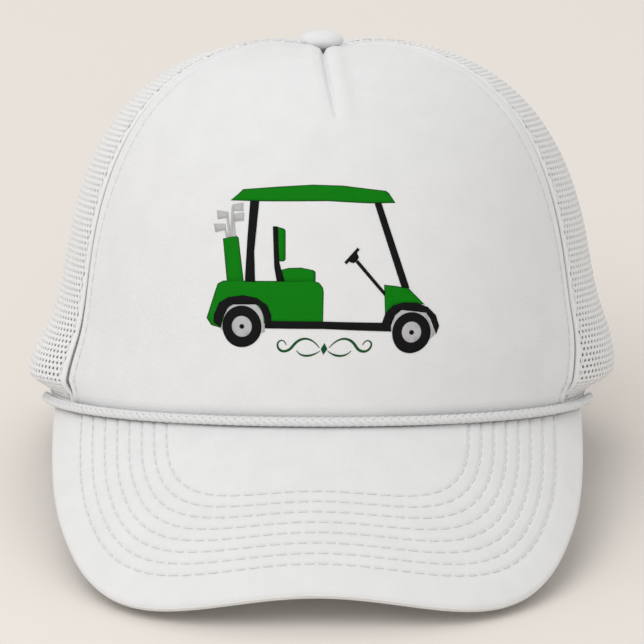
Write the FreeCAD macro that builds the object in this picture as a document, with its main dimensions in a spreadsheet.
"""Trucker cap: foam front, mesh back, curved visor and a plastic snap closure, in millimetres.

The pieces are drawn in the cap's own frame: the origin is the middle of the head opening, +Z is square to the
opening and the visor points along -Y. One placement then seats the whole cap on a level surface, where it rests
on the visor's lower edges and on the hem at the back.
"""
import FreeCAD, Part
import math
import os
from FreeCAD import Vector

doc = FreeCAD.newDocument("trucker_cap")
sheet = doc.addObject("Spreadsheet::Sheet", "sizes")

SIZES = [
    # head opening and crown
    ("opening_half_width", 91.8, "half the width of the head opening"),
    ("opening_half_length", 93.2, "half the length of the head opening"),
    ("crown_height", 123.5, "top of the crown above the opening"),
    ("plan_squareness", 2.73, "exponent of the crown's profile across"),
    ("profile_squareness", 2.96, "exponent of the crown's profile upwards"),
    ("apex_setback", 0.0, "how far the top lies behind the middle"),
    ("top_slope", 0.03, "fall of the top from front to back"),
    ("front_arch", 2.0, "rise of the bottom edge at the middle of the front"),
    ("mesh_bulge", 0.09, "share by which the mesh swells above the hem"),
    ("bulge_start", 3.1, "where the swelling starts above the opening"),
    ("bulge_peak", 10.4, "where the mesh is widest above the opening"),
    ("bulge_fade", 19.1, "distance over which the swelling fades upwards"),
    ("button_dip", 4.3, "how far the top is drawn down under the button"),
    ("button_dip_radius", 12.0, "half width of the dip under the button"),
    ("apex_hole_radius", 3.2, "hole that the panels leave at the top"),
    ("front_seam_angle", 64.0, "front seams, in degrees from the front"),
    ("side_seam_angle", 118.0, "side seams, in degrees from the front"),
    ("seam_gap", 0.15, "gap between two panels at a seam"),
    # cloth, foam and tape
    ("knit_thickness", 0.8, "knit face of the front panel"),
    ("foam_thickness", 2.2, "foam of the front panel"),
    ("mesh_thickness", 0.9, "mesh"),
    ("tape_width", 11.0, "seam tapes"),
    ("tape_thickness", 0.7, "seam tapes"),
    ("tape_start_gap", 4.5, "rear tape above the arch's tape"),
    ("front_tape_thickness", 1.7, "tape over the turned edges of the front seams"),
    ("stitch_width", 0.7, "width of a row of stitches"),
    ("stitch_height", 0.35, "height of a row of stitches"),
    ("stitch_lift", 0.22, "rows of stitches above the cloth"),
    ("topstitch_inset", 4.0, "topstitching from the front seam"),
    ("cloth_gap", 0.05, "gap between layers that lie on each other"),
    # print
    ("print_half_angle", 26.0, "half the width of the print, in degrees"),
    ("print_bottom", 24.0, "print above the opening"),
    ("print_top", 82.0, "top of the print above the opening"),
    ("print_thickness", 0.12, "printed film"),
    # button
    ("button_radius", 7.5, "covered button"),
    ("button_height", 7.0, "covered button"),
    ("button_skin", 0.7, "cloth over the button"),
    ("stem_radius", 1.5, "stem of the button"),
    ("rivet_radius", 6.0, "washer inside the crown"),
    ("rivet_thickness", 1.2, "washer inside the crown"),
    ("rivet_slack", 2.6, "washer below the lining at the top of the crown"),
    # visor
    ("visor_length", 49.4, "visor in front of the opening, seen from above"),
    ("visor_outer_angle", 78.0, "outer corner of the visor, in degrees from the front"),
    ("visor_inner_angle", 72.4, "inner corner of the visor, in degrees from the front"),
    ("visor_squareness", 3.41, "exponent of the visor's outline"),
    ("visor_bend_margin", 31.6, "radius of the visor's bend beyond half the width of the opening"),
    ("visor_fall", 1.065, "fall of the visor per unit forwards"),
    ("visor_blend", 10.0, "distance over which the visor takes up its fall"),
    ("visor_gap", 0.5, "visor from the crown"),
    ("visor_trim", 1.5, "how far the visor reaches under the crown before it is trimmed"),
    ("board_thickness", 1.6, "plastic board"),
    ("cover_thickness", 0.9, "cloth covers of the visor"),
    ("stitch_row_count", 8, "rows of stitches on the visor"),
    ("stitch_row_margin", 8.4, "outermost row from the visor's edge, along its front"),
    ("stitch_row_side_margin", 10.5, "outermost row from the visor's edge, at its sides"),
    ("stitch_row_pitch", 4.21, "rows of stitches on the visor"),
    ("braid_radius", 1.6, "braided cord"),
    ("braid_end_angle", 83.0, "ends of the braided cord, in degrees from the front"),
    ("braid_gap", 0.25, "braided cord from the crown"),
    ("braid_lift", 1.35, "middle of the braided cord above the crown's bottom edge"),
    # hem and band
    ("hem_thickness", 1.4, "hem tape under the bottom edge"),
    ("hem_lip", 0.3, "hem tape outside the crown"),
    ("band_height", 32.0, "sweatband"),
    ("band_thickness", 1.0, "sweatband"),
    ("padding_thickness", 2.0, "foam behind the sweatband"),
    ("padding_bottom", 4.0, "foam behind the sweatband"),
    ("padding_top", 28.0, "foam behind the sweatband"),
    ("band_rear_clearance", 2.8, "sweatband from the outside of the mesh"),
    ("band_arch_gap", 14.304, "ends of the sweatband from the sides of the rear arch"),
    # rear arch
    ("arch_half_width", 46.0, "rear arch"),
    ("arch_straight", 20.0, "straight sides of the arch above the opening"),
    ("arch_height", 48.0, "top of the arch above the opening"),
    ("arch_tape_width", 7.0, "tape around the arch"),
    ("arch_tape_out", 0.35, "tape outside the mesh"),
    ("arch_tape_in", 1.6, "tape's inner face from the outside of the mesh"),
    # snap closure
    ("strap_height", 21.0, "strap"),
    ("strap_bottom", 0.8, "strap above the opening"),
    ("strap_thickness", 1.3, "strap"),
    ("strap_depth", 2.2, "outer strap from the outside of the crown"),
    ("strap_clearance", 0.35, "gap between the two straps, and from the tabs"),
    ("strap_hinge_inset", 1.6, "bend of the strap from the side of the arch"),
    ("strap_tab_length", 11.0, "sewn root of a strap"),
    ("strap_end_margin", 4.5, "end of a strap past its last snap"),
    ("snap_count", 7, "pegs, and holes"),
    ("snap_engaged", 5, "pegs in holes"),
    ("snap_pitch", 10.0, "snap to snap along the strap"),
    ("snap_bend_gap", 1.0, "least room between the last hole and the bend of the strap"),
    ("hole_radius", 2.6, "holes"),
    ("peg_radius", 2.0, "pegs at the root"),
    ("peg_tip_radius", 1.45, "pegs at the tip"),
    ("peg_height", 2.1, "pegs"),
]
for row, (alias, value, meaning) in enumerate(SIZES, start=1):
    sheet.set(f"A{row}", meaning)
    sheet.set(f"B{row}", str(value))
    sheet.setAlias(f"B{row}", alias)
doc.recompute()


def size(alias):
    """The number in the sheet under this alias."""
    return float(sheet.get(alias))


half_width = size("opening_half_width")
half_length = size("opening_half_length")
crown_height = size("crown_height")
front_arch = size("front_arch")
cloth_gap = size("cloth_gap")
seam_gap_angle = math.degrees(size("seam_gap") / half_width)
wall_front = size("knit_thickness") + size("foam_thickness")
wall_mesh = size("mesh_thickness")
arch_turn = math.degrees(math.asin(size("arch_half_width") / half_width))
band_end = 180.0 - arch_turn - math.degrees(size("band_arch_gap") / half_width)
parts = []


# ---------------------------------------------------------------- crown surface
def smooth_step(value, low, high):
    """0 below low, 1 above high, with no corner between."""
    share = min(1.0, max(0.0, (value - low) / (high - low)))
    return share * share * (3.0 - 2.0 * share)


def bottom_edge(angle):
    """Height of the crown's bottom edge at this angle from the front."""
    return front_arch * max(0.0, math.cos(math.radians(angle))) ** 2


def rise_at_height(height):
    """The profile's parameter, 0 at the hem and 1 at the top, at this height above the opening."""
    share = min(1.0, max(0.0, height / crown_height))
    return 2.0 / math.pi * math.asin(share ** (size("profile_squareness") / 2.0))


def rise_at_radius(radius):
    """The profile's parameter where the crown is this far from its top."""
    share = radius / half_width
    return 2.0 / math.pi * math.acos(share ** (size("plan_squareness") / 2.0))


def crown_point(angle, rise, bulge=1.0):
    """A point on the outside of the crown, angle in degrees from the front and positive towards +X."""
    turn = math.radians(angle)
    reach = max(0.0, math.cos(math.pi * rise / 2.0)) ** (2.0 / size("plan_squareness"))
    lift = math.sin(math.pi * rise / 2.0) ** (2.0 / size("profile_squareness"))
    side = smooth_step(abs(angle), 50.0, 80.0) * (1.0 - smooth_step(abs(angle), 108.0, 140.0))
    height = lift * crown_height
    swell = smooth_step(height, size("bulge_start"), size("bulge_peak"))
    swell *= math.exp(-((max(0.0, height - size("bulge_peak")) / size("bulge_fade")) ** 2))
    factor = 1.0 + bulge * size("mesh_bulge") * side * swell
    x = half_width * reach * math.sin(turn) * factor
    y = size("apex_setback") * lift - half_length * reach * math.cos(turn) * factor
    z = bottom_edge(angle) * (1.0 - lift) + crown_height * lift * (1.0 - size("top_slope") * y / half_length)
    z -= size("button_dip") * math.exp(-((reach * half_width / size("button_dip_radius")) ** 2))
    return Vector(x, y, z)


def crown_offset(angle, rise, distance, bulge=1.0):
    """The crown's point, moved this far outwards along the crown's normal."""
    step = 0.002
    low = max(0.0, rise - step)
    along = crown_point(angle, rise + step, bulge) - crown_point(angle, low, bulge)
    around = crown_point(angle + 0.2, rise, bulge) - crown_point(angle - 0.2, rise, bulge)
    normal = around.cross(along)
    normal.normalize()
    return crown_point(angle, rise, bulge) + normal * distance


def spread(low, high, count):
    """Evenly spaced values from low to high."""
    return [low + (high - low) * step / (count - 1) for step in range(count)]


def spread_rises(low, high, count):
    """Values of the profile's parameter whose points are about evenly spaced on the crown."""
    ends = [1.0 - (1.0 - value) ** (2.0 / 3.0) for value in (low, high)]
    return [1.0 - (1.0 - value) ** 1.5 for value in spread(ends[0], ends[1], count)]


# ---------------------------------------------------------------- solids between two surfaces
def patch_solid(outer_points, inner_points):
    """The closed solid between two grids of points, with ruled edges."""
    surfaces = []
    for points in (outer_points, inner_points):
        surface = Part.BSplineSurface()
        surface.interpolate(points)
        surfaces.append(surface)
    faces = [surface.toShape() for surface in surfaces]
    for side in range(4):
        edges = []
        for surface in surfaces:
            first_u, last_u, first_v, last_v = surface.bounds()
            if side < 2:
                curve = surface.uIso((first_u, last_u)[side])
            else:
                curve = surface.vIso((first_v, last_v)[side - 2])
            edges.append(curve.toShape())
        faces.append(Part.makeRuledSurface(edges[0], edges[1]))
    shell = Part.Shell(faces)
    shell.sewShape()
    solid = Part.Solid(shell)
    if solid.Volume < 0:
        solid.reverse()
    return solid


def crown_layer(angles, rises, outside, inside, bulge=1.0):
    """A layer of the crown; outside and inside are distances from its outer surface, or functions of the angle."""
    grids = []
    for distance in (outside, inside):
        depth = distance if callable(distance) else (lambda angle, fixed=distance: fixed)
        grids.append([[crown_offset(a, r, depth(a), bulge) for r in rises] for a in angles])
    return patch_solid(grids[0], grids[1])


def add_shape(label, shape):
    """A sub-part whose shape is worked out here from the sheet's sizes."""
    item = doc.addObject("Part::Feature", label)
    item.Label = label
    item.Shape = shape
    parts.append(item)
    return item


def add_primitive(kind, name, sizes):
    """A Part primitive with its sizes bound to the sheet."""
    item = doc.addObject(kind, name)
    item.Label = name
    for prop, formula in sizes.items():
        item.setExpression(prop, formula)
    return item


# ---------------------------------------------------------------- crown panels
top_rise = rise_at_radius(size("apex_hole_radius"))
hem_rises = [rise_at_height(height) for height in (0.0, 1.5, 3.0, 4.5, 6.0, 7.5, 9.0, 11.0, 13.5, 17.0, 21.0)]
dip_rises = [rise_at_radius(radius) for radius in (26.0, 21.0, 17.0, 13.0, 10.0, 7.0, 5.0)]
panel_rises = hem_rises + spread_rises(rise_at_height(26.0), rise_at_radius(31.0), 18) + dip_rises + [top_rise]


def front_panel():
    """Knit face and foam backing, from one front seam to the other."""
    edge = size("front_seam_angle") - seam_gap_angle
    angles = spread(-edge, edge, 29)
    knit = size("knit_thickness")
    add_shape("front_panel", crown_layer(angles, panel_rises, 0.0, -knit))
    add_shape("front_foam", crown_layer(angles, panel_rises, -knit - cloth_gap, -wall_front))


def arch_prism(margin):
    """A bar through the back, with the outline of the rear arch made wider by margin."""
    wide = size("arch_half_width") + margin
    straight = size("arch_straight")
    top = size("arch_height") + margin
    arc = Part.Ellipse(Vector(wide, 0, straight), Vector(0, 0, top), Vector(0, 0, straight))
    bow = Part.ArcOfEllipse(arc, 0.0, math.pi).toShape()
    right, left = [vertex.Point for vertex in bow.Vertexes]
    if right.x < left.x:
        right, left = left, right
    low = -20.0
    sides = [
        Part.makeLine(left, Vector(-wide, 0, low)),
        Part.makeLine(Vector(-wide, 0, low), Vector(wide, 0, low)),
        Part.makeLine(Vector(wide, 0, low), right),
    ]
    outline = Part.Wire(Part.__sortEdges__([bow] + sides))
    prism = Part.Face(outline).extrude(Vector(0, 2.0 * half_length, 0))
    prism.translate(Vector(0, 0.3 * half_length, 0))
    return prism


def mesh_panels():
    """Two side panels and two rear panels; the rear ones leave the arch open."""
    first = size("front_seam_angle") + seam_gap_angle
    side = size("side_seam_angle")
    arch = arch_prism(size("arch_tape_width"))
    for word, sign in (("left", -1), ("right", 1)):
        side_angles = spread(sign * first, sign * (side - seam_gap_angle), 11)
        rear_angles = spread(sign * (side + seam_gap_angle), sign * (180.0 - seam_gap_angle), 11)
        add_shape(f"side_mesh_{word}", crown_layer(side_angles, panel_rises, 0.0, -wall_mesh))
        rear = crown_layer(rear_angles, panel_rises, 0.0, -wall_mesh)
        add_shape(f"rear_mesh_{word}", rear.cut(arch))


def seam_tapes():
    """Tapes over the seams, inside the crown, narrowing to the top as the panels do."""
    span = math.degrees(size("tape_width") / half_width)
    low = rise_at_height(size("band_height") + 3.0)
    high = rise_at_radius(size("rivet_radius") + 2.0)
    rises = spread_rises(low, high, 12)
    outside = -wall_mesh - 3.0 * cloth_gap
    for word, sign in (("left", -1), ("right", 1)):
        first = size("front_seam_angle") + seam_gap_angle
        angles = spread(sign * first, sign * (first + span), 5)
        shape = crown_layer(angles, rises, outside, outside - size("front_tape_thickness"))
        add_shape(f"front_seam_tape_{word}", shape)
        middle = size("side_seam_angle")
        angles = spread(sign * (middle - span / 2.0), sign * (middle + span / 2.0), 5)
        shape = crown_layer(angles, rises, outside, outside - size("tape_thickness"))
        add_shape(f"side_seam_tape_{word}", shape)
    low = rise_at_height(size("arch_height") + size("arch_tape_width") + size("tape_start_gap"))
    angles = spread(180.0 - span / 2.0, 180.0 + span / 2.0, 5)
    shape = crown_layer(angles, spread_rises(low, high, 10), outside, outside - size("tape_thickness"))
    add_shape("rear_seam_tape", shape)


def front_topstitch():
    """A row of stitches beside each front seam, on the knit face."""
    middle = size("front_seam_angle") - math.degrees(size("topstitch_inset") / half_width)
    half = math.degrees(size("stitch_width") / half_width) / 2.0
    rises = panel_rises[4:-6]
    lift = size("stitch_lift")
    rows = []
    for sign in (-1, 1):
        angles = spread(sign * (middle - half), sign * (middle + half), 4)
        rows.append(crown_layer(angles, rises, lift + size("stitch_height"), lift))
    add_shape("front_topstitch", Part.makeCompound(rows))


def front_print():
    """A thin printed film on the front panel."""
    half = size("print_half_angle")
    rises = spread_rises(rise_at_height(size("print_bottom")), rise_at_height(size("print_top")), 8)
    outside = cloth_gap + size("print_thickness")
    add_shape("front_print", crown_layer(spread(-half, half, 9), rises, outside, cloth_gap))


# ---------------------------------------------------------------- button
def button():
    """A covered button on a stem, with a washer inside the crown."""
    apex = "sizes.crown_height - sizes.button_dip + sizes.button_height / 2"
    seat = f"({apex} + 0.1) * 1 mm"
    shift = "sizes.apex_setback * 1 mm"

    def bun(name, shrink):
        item = add_primitive("Part::Ellipsoid", name, {
            "Radius1": f"sizes.button_height / 2 - {shrink}",
            "Radius2": f"sizes.button_radius - {shrink}",
            "Radius3": f"sizes.button_radius - {shrink}",
            "Placement.Base.y": shift,
            "Placement.Base.z": seat,
        })
        return item

    def rod(name, radius, drop, length):
        item = add_primitive("Part::Cylinder", name, {
            "Radius": radius,
            "Height": length,
            "Placement.Base.y": shift,
            "Placement.Base.z": f"({apex} - sizes.button_height / 2 - {drop}) * 1 mm",
        })
        return item

    wall = "(sizes.knit_thickness + sizes.foam_thickness + sizes.rivet_thickness + sizes.rivet_slack)"
    hollow = doc.addObject("Part::MultiFuse", "button_hollow")
    hollow.Shapes = [
        bun("button_inside", "sizes.button_skin"),
        rod("button_stem_way", "sizes.stem_radius + sizes.cloth_gap", wall, f"{wall} + 2"),
    ]
    cover = doc.addObject("Part::Cut", "button_cover")
    cover.Label = "button_cover"
    cover.Base = bun("button_outside", "0")
    cover.Tool = hollow
    parts.append(cover)
    core = doc.addObject("Part::MultiFuse", "button_core")
    core.Label = "button_core"
    core.Shapes = [
        bun("button_disc", "sizes.button_skin - sizes.cloth_gap"),
        rod("button_stem", "sizes.stem_radius", wall, f"{wall} + 2"),
    ]
    parts.append(core)
    washer = doc.addObject("Part::Cut", "button_rivet")
    washer.Label = "button_rivet"
    washer.Base = rod("rivet_disc", "sizes.rivet_radius", wall, "sizes.rivet_thickness")
    washer.Tool = rod("rivet_bore", "sizes.stem_radius + sizes.cloth_gap", wall, "sizes.rivet_thickness + 1")
    parts.append(washer)


# ---------------------------------------------------------------- visor
def bend_drop(x):
    """How far the bent visor lies below its middle line at this distance from it."""
    radius = half_width + size("visor_bend_margin")
    return radius - math.sqrt(max(1.0, radius * radius - x * x))


def visor_height(x, y):
    """The visor's top surface. Beside the crown it passes through the crown's bottom edge."""
    turn = math.acos(min(1.0, -y / half_length))
    height = bottom_edge(math.degrees(turn)) - bend_drop(x) + bend_drop(half_width * math.sin(turn))
    ahead = max(0.0, -y - half_length)
    radius = half_width + size("visor_bend_margin")
    start = (half_width * half_width / radius - 2.0 * front_arch) / half_length
    fall = size("visor_fall")
    blend = size("visor_blend")
    return height - fall * ahead + (fall - start) * blend * (1.0 - math.exp(-ahead / blend))


def visor_offset(x, y, drop):
    """A point this far under the visor's top surface, square to it."""
    step = 0.5
    slope_x = (visor_height(x + step, y) - visor_height(x - step, y)) / (2.0 * step)
    slope_y = (visor_height(x, y + step) - visor_height(x, y - step)) / (2.0 * step)
    normal = Vector(-slope_x, -slope_y, 1.0)
    normal.normalize()
    return Vector(x, y, visor_height(x, y)) - normal * drop


def even_points(curve, count):
    """Points of curve(0..1), evenly spaced along its length."""
    fine = [curve(step / 600.0) for step in range(601)]
    run = [0.0]
    for here, there in zip(fine, fine[1:]):
        run.append(run[-1] + math.dist(here, there))
    found = []
    index = 0
    for target in spread(0.0, run[-1], count):
        while index < 599 and run[index + 1] < target:
            index += 1
        share = (target - run[index]) / (run[index + 1] - run[index])
        here, there = fine[index], fine[index + 1]
        found.append(tuple(h + (t - h) * share for h, t in zip(here, there)))
    return found


def visor_outline(side_margin, front_margin):
    """The visor's outline seen from above, or a row inside it, from the left corner to the right one."""
    corner = math.radians(size("visor_outer_angle"))
    end_x = (half_width + size("visor_gap")) * math.sin(corner) - side_margin
    turn = math.asin(min(1.0, end_x / (half_width + size("visor_gap"))))
    end_y = -(half_length + size("visor_gap")) * math.cos(turn) - (0.6 if side_margin else 0.0)
    reach = half_length + size("visor_length") - front_margin + end_y
    power = 2.0 / size("visor_squareness")

    def curve(share):
        swing = math.pi * (share - 0.5)
        x = math.copysign(end_x * abs(math.sin(swing)) ** power, swing)
        return x, end_y - reach * max(0.0, math.cos(swing)) ** power

    return curve


def visor_base(share):
    """A line just inside the visor's inner edge, from the left corner to the right one."""
    angle = math.radians(size("visor_inner_angle") * (2.0 * share - 1.0))
    inset = size("visor_trim")
    return (half_width - inset) * math.sin(angle), -(half_length - inset) * math.cos(angle)


def visor_layer(top, bottom):
    """A layer of the visor between two depths under its top surface."""
    inner = even_points(visor_base, 41)
    outer = even_points(visor_outline(0.0, 0.0), 41)
    grids = []
    for drop in (top, bottom):
        grid = []
        for start, end in zip(inner, outer):
            row = []
            for share in spread(0.0, 1.0, 10):
                x = start[0] + (end[0] - start[0]) * share
                y = start[1] + (end[1] - start[1]) * share
                row.append(visor_offset(x, y, drop))
            grid.append(row)
        grids.append(grid)
    return patch_solid(grids[0], grids[1]).cut(crown_post())


def crown_post():
    """An upright oval post that fills the crown's plan, which the visor's lower layers end at."""
    gap = size("visor_gap")
    post = Part.makeCylinder(1.0, 80.0, Vector(0, 0, -40.0))
    scale = FreeCAD.Matrix()
    scale.scale(half_width + gap, half_length + gap, 1.0)
    return post.transformGeometry(scale)


def visor():
    """The plastic board between its two covers, and the rows of stitches on top."""
    cover = size("cover_thickness")
    board = size("board_thickness")
    add_shape("visor_top_cover", visor_layer(0.0, cover))
    add_shape("visor_board", visor_layer(cover + cloth_gap, cover + board))
    add_shape("visor_under_cover", visor_layer(cover + board + cloth_gap, 2.0 * cover + board))
    rows = []
    plan_share = 1.0 / math.hypot(1.0, size("visor_fall"))
    half = size("stitch_width") / 2.0
    for row in range(int(size("stitch_row_count"))):
        shift = row * size("stitch_row_pitch")
        lines = []
        for side in (-half, -half / 3.0, half / 3.0, half):
            across = size("stitch_row_side_margin") + shift + side
            forward = size("stitch_row_margin") + (shift + side) * plan_share
            lines.append(even_points(visor_outline(across, forward), 45))
        top = [[visor_offset(x, y, -size("stitch_height")) for x, y in line] for line in lines]
        foot = [[visor_offset(x, y, -size("stitch_lift")) for x, y in line] for line in lines]
        rows.append(patch_solid(top, foot))
    add_shape("visor_stitching", Part.makeCompound(rows))


def braid_cord():
    """The braid that covers the visor's seam, lying in the corner between crown and visor."""
    radius = size("braid_radius")
    reach = radius + size("braid_gap")
    widths = [radius * math.sin(math.radians(turn)) for turn in (-75, -50, -25, 0, 25, 50, 75)]
    outer = []
    inner = []
    for angle in spread(-size("braid_end_angle"), size("braid_end_angle"), 33):
        turn = math.radians(angle)
        out = Vector(math.sin(turn), -math.cos(turn), 0)
        x = (half_width + reach) * math.sin(turn)
        y = -(half_length + reach) * math.cos(turn)
        middle = Vector(x, y, bottom_edge(angle) + size("braid_lift"))
        deep = [math.sqrt(radius * radius - width * width) for width in widths]
        outer.append([middle + out * d + Vector(0, 0, w) for d, w in zip(deep, widths)])
        inner.append([middle - out * d + Vector(0, 0, w) for d, w in zip(deep, widths)])
    add_shape("braid_cord", patch_solid(outer, inner))


# ---------------------------------------------------------------- hem, band and rear arch
def band_depth(angle):
    """The outside of the sweatband, measured inwards from the outside of the crown."""
    front = wall_front + size("padding_thickness") + 2.0 * cloth_gap
    rear = size("band_rear_clearance")
    edge = size("front_seam_angle")
    return -front + (front - rear) * smooth_step(abs(angle), edge + 2.0, edge + 17.0)


def inner_band():
    """The sweatband, sewn along the bottom only, the foam behind its front, and the hem under the bottom edge."""
    angles = spread(-band_end, band_end, 57)
    rises = [rise_at_height(height) for height in spread(0.1, size("band_height"), 7)]
    thickness = size("band_thickness")
    band = crown_layer(angles, rises, band_depth, lambda a: band_depth(a) - thickness, 0.0)
    add_shape("sweatband", band)
    pad_end = size("front_seam_angle") - 2.0
    pad_rises = [rise_at_height(h) for h in spread(size("padding_bottom"), size("padding_top"), 5)]
    near = -wall_front - cloth_gap
    padding = crown_layer(spread(-pad_end, pad_end, 19), pad_rises, near, near - size("padding_thickness"), 0.0)
    add_shape("sweatband_padding", padding)
    top = []
    bottom = []
    for angle in angles:
        outside = crown_offset(angle, 0.0, size("hem_lip"), 0.0)
        inside = crown_offset(angle, 0.0, band_depth(angle) - thickness, 0.0)
        line = [outside + (inside - outside) * share for share in spread(0.0, 1.0, 4)]
        level = bottom_edge(angle) - cloth_gap
        top.append([Vector(point.x, point.y, level) for point in line])
        bottom.append([Vector(point.x, point.y, level - size("hem_thickness")) for point in line])
    add_shape("base_binding", patch_solid(top, bottom))


def arch_binding():
    """The tape around the rear arch, over the edge of the mesh."""
    span = math.degrees(math.asin((size("arch_half_width") + size("arch_tape_width")) / half_width)) + 6.0
    top = rise_at_height(size("arch_height") + size("arch_tape_width") + 8.0)
    angles = spread(180.0 - span, 180.0 + span, 21)
    wall = crown_layer(angles, spread_rises(0.0, top, 10), size("arch_tape_out"), -size("arch_tape_in"))
    ring = arch_prism(size("arch_tape_width") - cloth_gap).cut(arch_prism(0.0))
    add_shape("arch_binding", wall.common(ring))


# ---------------------------------------------------------------- snap closure
# The straps follow a circle through the back of the head opening: its sag over the arch gives the radius.
ARCH_TURN = "asin(sizes.arch_half_width / sizes.opening_half_width)"
ARCH_SAG = f"(sizes.opening_half_length * (1 - cos({ARCH_TURN})))"
BACK_RADIUS = f"((sizes.arch_half_width ^ 2 + {ARCH_SAG} ^ 2) / (2 * {ARCH_SAG}))"
OUTER_RADIUS = f"({BACK_RADIUS} - sizes.strap_depth)"
INNER_RADIUS = f"({OUTER_RADIUS} - sizes.strap_thickness - sizes.strap_clearance)"
BACK_CENTRE = f"((sizes.opening_half_length - {BACK_RADIUS}) * 1 mm)"
STEP = f"(sizes.snap_pitch / {OUTER_RADIUS} * 180 / pi)"
END = f"(((sizes.snap_engaged - 1) / 2 * sizes.snap_pitch + sizes.strap_end_margin) / {OUTER_RADIUS} * 180 / pi)"


def hinge_turn(radius):
    """Angle from the middle of the back to the bend of a strap, in degrees."""
    return f"(asin((sizes.arch_half_width - sizes.strap_hinge_inset) / {radius}) / 1 deg)"


def curved_bar(name, radius, first, last):
    """A strip of strap on a circle about the back's centre, between two angles from the middle of the back."""
    discs = []
    for word, shrink in (("outside", "0"), ("inside", "sizes.strap_thickness")):
        discs.append(add_primitive("Part::Cylinder", f"{name}_{word}", {
            "Radius": f"{radius} - {shrink}",
            "Height": "sizes.strap_height",
            "Angle": f"({last}) - ({first})",
            "Placement.Base.y": BACK_CENTRE,
            "Placement.Base.z": "sizes.strap_bottom * 1 mm",
            "Placement.Rotation.Angle": f"(90 + ({first})) * 1 deg",
        }))
    strip = doc.addObject("Part::Cut", f"{name}_strip")
    strip.Base = discs[0]
    strip.Tool = discs[1]
    return strip


def snap_row(name, radius, sign, solid_kind, sizes):
    """Pegs or holes, spaced along a strap and pointing away from the back's centre."""
    items = []
    last = (size("snap_engaged") - 1) / 2.0
    room = size("arch_half_width") - size("strap_hinge_inset") - size("hole_radius") - size("snap_bend_gap")
    for index in range(int(size("snap_count"))):
        place = sign * (last - index)
        if abs(place) * size("snap_pitch") > room:
            break
        turn = f"(90 + ({place}) * {STEP})"
        item = add_primitive(solid_kind, f"{name}_{index}", sizes)
        x = f"({radius}) * cos({turn}) * 1 mm"
        y = f"({BACK_CENTRE} + ({radius}) * sin({turn}) * 1 mm)"
        z = "(sizes.strap_bottom + sizes.strap_height / 2) * 1 mm"
        # a quarter turn about a level axis points the primitive outwards
        axis = f"vector(-sin({turn}); cos({turn}); 0)"
        item.setExpression("Placement", f"placement(vector({x}; {y}; {z}); rotation({axis}; 90))")
        items.append(item)
    return items


def strap(label, radius, sign):
    """One strap, with a round end at its bend: sign is the side that its far end points to."""
    turn = hinge_turn(radius)
    first, last = (f"-{turn}", END) if sign > 0 else (f"-{END}", turn)
    bar = curved_bar(label, radius, first, last)
    middle = f"({radius} - sizes.strap_thickness / 2)"
    roll = add_primitive("Part::Cylinder", f"{label}_bend", {
        "Radius": "sizes.strap_thickness / 2",
        "Height": "sizes.strap_height",
        "Placement.Base.x": f"{sign} * {middle} * sin({turn}) * 1 mm",
        "Placement.Base.y": f"{BACK_CENTRE} + {middle} * cos({turn}) * 1 mm",
        "Placement.Base.z": "sizes.strap_bottom * 1 mm",
    })
    whole = doc.addObject("Part::MultiFuse", f"{label}_blank")
    whole.Shapes = [bar, roll]
    return whole


def snap_closure():
    """The outer strap has the holes and bends at the +X side of the arch; the inner one has the pegs."""
    outer = strap("hole_strap", OUTER_RADIUS, 1)
    holes = doc.addObject("Part::MultiFuse", "hole_strap_holes")
    holes.Shapes = snap_row("snap_hole", f"({OUTER_RADIUS} - 4)", 1, "Part::Cylinder", {
        "Radius": "sizes.hole_radius", "Height": "8",
    })
    hole_strap = doc.addObject("Part::Cut", "hole_strap")
    hole_strap.Label = "hole_strap"
    hole_strap.Base = outer
    hole_strap.Tool = holes
    parts.append(hole_strap)
    inner = strap("peg_strap", INNER_RADIUS, -1)
    pegs = snap_row("snap_peg", f"({INNER_RADIUS} - 0.3)", -1, "Part::Cone", {
        "Radius1": "sizes.peg_radius", "Radius2": "sizes.peg_tip_radius", "Height": "sizes.peg_height + 0.3",
    })
    peg_strap = doc.addObject("Part::MultiFuse", "peg_strap")
    peg_strap.Label = "peg_strap"
    peg_strap.Shapes = [inner] + pegs
    parts.append(peg_strap)
    for label, radius, side in (("strap_tab_right", OUTER_RADIUS, 1), ("strap_tab_left", INNER_RADIUS, -1)):
        gap = f"((sizes.strap_thickness / 2 + sizes.strap_clearance) / {radius} * 180 / pi)"
        near = f"({hinge_turn(radius)} + {gap})"
        far = f"({near} + sizes.strap_tab_length / {radius} * 180 / pi)"
        first, last = (near, far) if side < 0 else (f"-{far}", f"-{near}")
        tab = curved_bar(label, radius, first, last)
        tab.Label = label
        parts.append(tab)


def strap_stitching():
    """Two rows of stitches over each sewn root, on the outside of the arch's tape."""
    half = math.degrees(size("stitch_width") / half_width) / 2.0
    rises = [rise_at_height(size("strap_bottom") + 1.0 + height) for height in spread(0.0, 19.0, 5)]
    rows = []
    for sign in (-1, 1):
        for inset in (1.8, 5.2):
            middle = 180.0 + sign * (arch_turn + math.degrees(inset / half_width))
            angles = spread(middle - half, middle + half, 4)
            near = size("arch_tape_out") + cloth_gap
            rows.append(crown_layer(angles, rises, near + size("stitch_height"), near))
    add_shape("strap_stitching", Part.makeCompound(rows))


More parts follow.
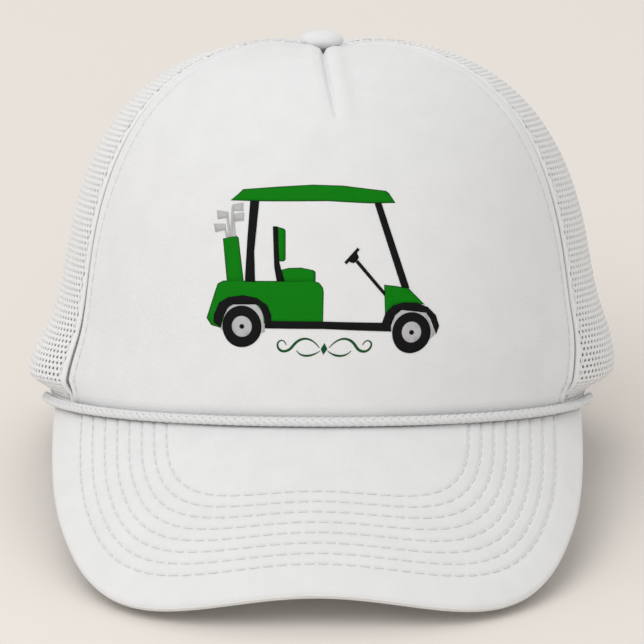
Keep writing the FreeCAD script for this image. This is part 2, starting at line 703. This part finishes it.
# ---------------------------------------------------------------- seat, check and write
def seat_placement():
    """Tips the cap back until its visor and the hem at the back touch one level surface."""
    under = 2.0 * size("cover_thickness") + size("board_thickness")
    low_front = [visor_offset(x, y, under) for x, y in even_points(visor_outline(0.0, 0.0), 121)]
    edge = band_depth(180.0) - size("band_thickness")
    low_rear = []
    for angle in spread(100.0, band_end, 30):
        for distance in (size("hem_lip"), edge):
            point = crown_offset(angle, 0.0, distance, 0.0)
            low_rear.append(Vector(point.x, point.y, -cloth_gap - size("hem_thickness")))

    def lowest(points, tip):
        return min(p.z * math.cos(tip) - p.y * math.sin(tip) for p in points)

    flat, steep = 0.0, math.radians(40.0)
    for _ in range(60):
        tip = (flat + steep) / 2.0
        if lowest(low_front, tip) < lowest(low_rear, tip):
            flat = tip
        else:
            steep = tip
    turn = FreeCAD.Rotation(Vector(1, 0, 0), -math.degrees(flat))
    return FreeCAD.Placement(Vector(0, 0, 0), turn)


front_panel()
mesh_panels()
seam_tapes()
front_topstitch()
front_print()
button()
visor()
braid_cord()
inner_band()
arch_binding()
snap_closure()
strap_stitching()
doc.recompute()

seat = seat_placement()
for item in parts:
    item.Placement = seat.multiply(item.Placement)
doc.recompute()
whole = FreeCAD.BoundBox()
for item in parts:
    for corner in item.Shape.tessellate(0.05)[0]:
        whole.add(corner)
seat_shift = FreeCAD.Placement(Vector(-whole.Center.x, -whole.Center.y, -whole.ZMin), FreeCAD.Rotation())
for item in parts:
    item.Placement = seat_shift.multiply(item.Placement)
doc.recompute()

for item in doc.Objects:
    if "Invalid" in item.State or "Error" in item.State:
        raise RuntimeError(f"{item.Name} failed: {item.State}")
for item in parts:
    shape = item.Shape
    if shape.isNull() or not shape.isValid() or not shape.Solids:
        raise RuntimeError(f"{item.Label} has no valid solid")

os.makedirs("parts", exist_ok=True)
for item in parts:
    item.Shape.exportStep(f"parts/{item.Label}.step")
    box = item.Shape.BoundBox
    print(f"{item.Label}: {len(item.Shape.Solids)} solids, {item.Shape.Volume:.0f} cubic mm, "
          f"{box.XLength:.1f} x {box.YLength:.1f} x {box.ZLength:.1f}")
print(f"tipped back {math.degrees(seat.Rotation.Angle):.4f} degrees, moved {seat_shift.Base}, size {whole}")
